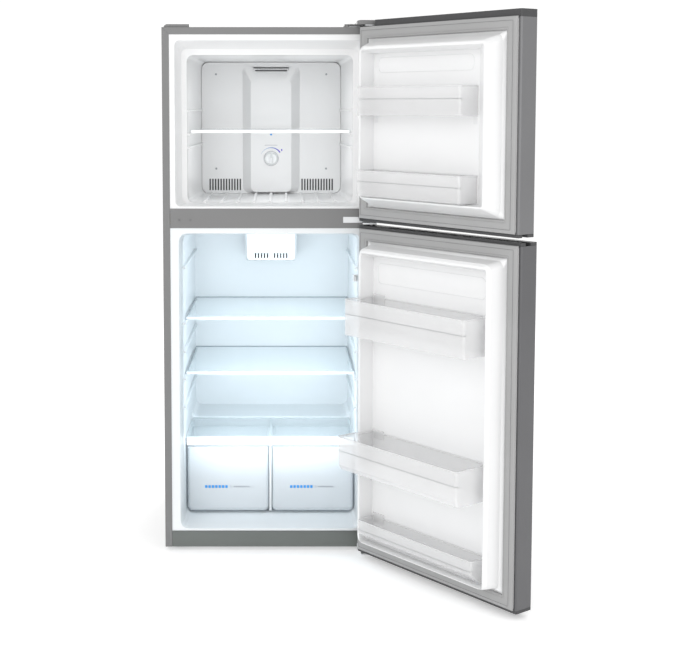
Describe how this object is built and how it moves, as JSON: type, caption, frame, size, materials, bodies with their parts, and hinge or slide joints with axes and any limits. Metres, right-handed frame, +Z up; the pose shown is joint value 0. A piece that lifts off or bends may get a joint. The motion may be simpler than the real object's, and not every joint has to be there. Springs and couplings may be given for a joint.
{
  "type": "top freezer refrigerator",
  "caption": "Household refrigerator with a freezer on top: a two-compartment insulated cabinet with hinged doors, glass shelves, sliding drawers and door bins.",
  "frame": {"origin": "on the floor under the middle of the bounding box, doors open as stored", "axes": "+Z up, +Y towards the back of the cabinet, +X to the side on which the doors are hung"},
  "size_m": [0.9568, 1.127, 1.505],
  "materials": {
    "black_metal": "satin black enamel",
    "clear_plastic": "clear, glossy",
    "copper": "drawn copper tube",
    "dark_plastic": "fine matt grain",
    "door_skin": "satin silver-grey paint",
    "foam": "expanded foam",
    "gasket_grey": "soft matt",
    "glass": "toughened glass",
    "kick_grey": "matt",
    "lamp": "frosted diffuser",
    "liner_white": "smooth white",
    "painted_steel": "satin grey paint",
    "zinc": "galvanised"
  },
  "bodies": {
    "cabinet": {"air_duct_housing": "liner_white", "back_panel": "zinc", "base_pan": "zinc", "bottom_hinge": "zinc", "centre_hinge": "zinc", "centre_rail": "painted_steel", "compressor": "black_metal", "condenser_coil": "copper", "cord_gland": "dark_plastic", "crisper_cover_glass": "glass", "crisper_cover_trim": "liner_white", "drawer_divider": "liner_white", "evaporator_cover": "liner_white", "fan_motor": "dark_plastic", "freezer_liner": "liner_white", "fridge_liner": "liner_white", "insulation": "foam", "kick_plate": "kick_grey", "lamp_lens": "lamp", "left_hinge_cap": "painted_steel", "machine_bay_wall": "zinc", "outer_case": "painted_steel", "rear_cover": "zinc", "roller_bracket_left": "zinc", "roller_bracket_right": "zinc", "switch_housing": "liner_white", "top_hinge": "zinc", "top_hinge_cover": "painted_steel"},
    "freezer_door": {"freezer_door_bottom_cap": "dark_plastic", "freezer_door_foam": "foam", "freezer_door_gasket": "gasket_grey", "freezer_door_liner": "liner_white", "freezer_door_skin": "door_skin", "freezer_door_top_cap": "dark_plastic"},
    "fridge_door": {"fridge_door_bottom_cap": "dark_plastic", "fridge_door_foam": "foam", "fridge_door_gasket": "gasket_grey", "fridge_door_liner": "liner_white", "fridge_door_skin": "door_skin", "fridge_door_top_cap": "dark_plastic"},
    "freezer_upper_bin_body": {"freezer_upper_bin": "clear_plastic"},
    "freezer_lower_bin_body": {"freezer_lower_bin": "clear_plastic"},
    "fridge_upper_bin_body": {"fridge_upper_bin": "clear_plastic"},
    "fridge_middle_bin_body": {"fridge_middle_bin": "clear_plastic"},
    "fridge_lower_bin_body": {"fridge_lower_bin": "clear_plastic"},
    "freezer_shelf": {"freezer_shelf_glass": "glass", "freezer_shelf_trim": "liner_white"},
    "upper_shelf": {"upper_shelf_glass": "glass", "upper_shelf_trim": "liner_white"},
    "lower_shelf": {"lower_shelf_glass": "glass", "lower_shelf_trim": "liner_white"},
    "crisper_left_body": {"crisper_left": "clear_plastic"},
    "crisper_right_body": {"crisper_right": "clear_plastic"},
    "knob": {"freezer_knob": "liner_white"},
    "switch": {"light_switch": "liner_white"},
    "fan": {"evaporator_fan": "dark_plastic"},
    "foot_left_body": {"foot_left": "dark_plastic"},
    "roller_left_body": {"roller_left": "dark_plastic"},
    "foot_right_body": {"foot_right": "dark_plastic"},
    "roller_right_body": {"roller_right": "dark_plastic"}
  },
  "joints": [
    {"name": "freezer_door_hinge", "type": "hinge", "parent": "cabinet", "child": "freezer_door", "pos_m": [0.10358, -0.07947, 1.2], "axis": [0, 0, 1], "range_deg": [-126.5, 8.5]},
    {"name": "fridge_door_hinge", "type": "hinge", "parent": "cabinet", "child": "fridge_door", "pos_m": [0.10358, -0.07947, 0.5], "axis": [0, 0, 1], "range_deg": [-127.7, 7.3]},
    {"name": "freezer_upper_bin_lift", "type": "slide", "parent": "freezer_door", "child": "freezer_upper_bin_body", "axis": [0, 0, 1], "range_m": [0, 0.03]},
    {"name": "freezer_lower_bin_lift", "type": "slide", "parent": "freezer_door", "child": "freezer_lower_bin_body", "axis": [0, 0, 1], "range_m": [0, 0.03]},
    {"name": "fridge_upper_bin_lift", "type": "slide", "parent": "fridge_door", "child": "fridge_upper_bin_body", "axis": [0, 0, 1], "range_m": [0, 0.03]},
    {"name": "fridge_middle_bin_lift", "type": "slide", "parent": "fridge_door", "child": "fridge_middle_bin_body", "axis": [0, 0, 1], "range_m": [0, 0.03]},
    {"name": "fridge_lower_bin_lift", "type": "slide", "parent": "fridge_door", "child": "fridge_lower_bin_body", "axis": [0, 0, 1], "range_m": [0, 0.03]},
    {"name": "freezer_shelf_slide", "type": "slide", "parent": "cabinet", "child": "freezer_shelf", "axis": [0, -1, 0], "range_m": [0, 0.2]},
    {"name": "upper_shelf_slide", "type": "slide", "parent": "cabinet", "child": "upper_shelf", "axis": [0, -1, 0], "range_m": [0, 0.2]},
    {"name": "lower_shelf_slide", "type": "slide", "parent": "cabinet", "child": "lower_shelf", "axis": [0, -1, 0], "range_m": [0, 0.2]},
    {"name": "crisper_left_slide", "type": "slide", "parent": "cabinet", "child": "crisper_left_body", "axis": [0, -1, 0], "range_m": [0, 0.24]},
    {"name": "crisper_right_slide", "type": "slide", "parent": "cabinet", "child": "crisper_right_body", "axis": [0, -1, 0], "range_m": [0, 0.24]},
    {"name": "freezer_knob_turn", "type": "hinge", "parent": "cabinet", "child": "knob", "pos_m": [-0.17842, 0.38513, 1.1077], "axis": [0, 1, 0], "range_deg": [-120, 120]},
    {"name": "light_switch_press", "type": "slide", "parent": "cabinet", "child": "switch", "axis": [0, 1, 0], "range_m": [0, 0.006], "stiffness_N_per_m": 150},
    {"name": "evaporator_fan_spin", "type": "hinge", "parent": "cabinet", "child": "fan", "pos_m": [-0.17842, 0.43153, 1.3], "axis": [0, 1, 0], "continuous": true},
    {"name": "roller_left_spin", "type": "hinge", "parent": "cabinet", "child": "roller_left_body", "pos_m": [-0.44042, 0.51753, 0.014], "axis": [1, 0, 0], "continuous": true},
    {"name": "roller_right_spin", "type": "hinge", "parent": "cabinet", "child": "roller_right_body", "pos_m": [0.08358, 0.51753, 0.014], "axis": [1, 0, 0], "continuous": true},
    {"name": "foot_left_turn", "type": "hinge", "parent": "cabinet", "child": "foot_left_body", "pos_m": [-0.44042, 0.00953, 0], "axis": [0, 0, 1], "continuous": true},
    {"name": "foot_right_turn", "type": "hinge", "parent": "cabinet", "child": "foot_right_body", "pos_m": [0.08358, 0.00953, 0], "axis": [0, 0, 1], "continuous": true}
  ]
}
